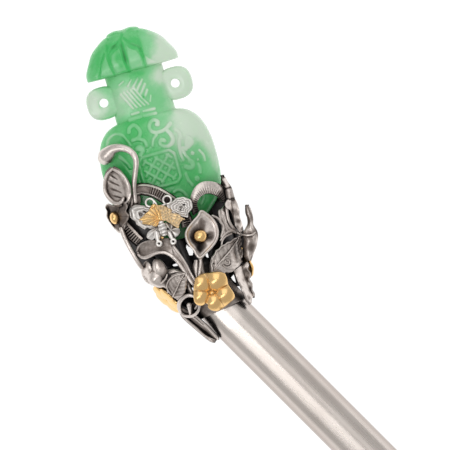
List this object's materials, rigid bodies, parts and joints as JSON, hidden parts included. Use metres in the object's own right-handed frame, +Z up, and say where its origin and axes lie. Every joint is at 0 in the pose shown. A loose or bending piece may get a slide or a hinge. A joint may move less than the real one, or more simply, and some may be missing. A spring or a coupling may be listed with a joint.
{
  "type": "binyeo hairpin",
  "caption": "Long straight hairpin: an openwork cup of stems, leaves and flowers at its end holds a flat carved stone vase at a slant; a butterfly sits on the cup.",
  "frame": {"origin": "middle of the bottom of the pin's box, on the surface that the pin lies on", "axes": "+X along the shaft towards its tip, +Y to the side that the vase leans to, +Z up, out of the pin's face"},
  "size_m": [0.2026, 0.039, 0.0177],
  "materials": {
    "satin_silver": "satin",
    "dark_silver": "satin",
    "butterfly_silver": "satin",
    "gilt_silver": "satin",
    "jade": "gloss"
  },
  "bodies": {
    "root": {"shaft": "satin_silver", "core_pin": "dark_silver", "jade_vase": "jade", "openwork_cup": "dark_silver", "butterfly": "butterfly_silver", "blossom_front": "gilt_silver", "blossom_left": "gilt_silver", "blossom_right": "gilt_silver", "blossom_back": "gilt_silver", "bead_front": "gilt_silver", "bead_left": "gilt_silver"}
  },
  "joints": []
}
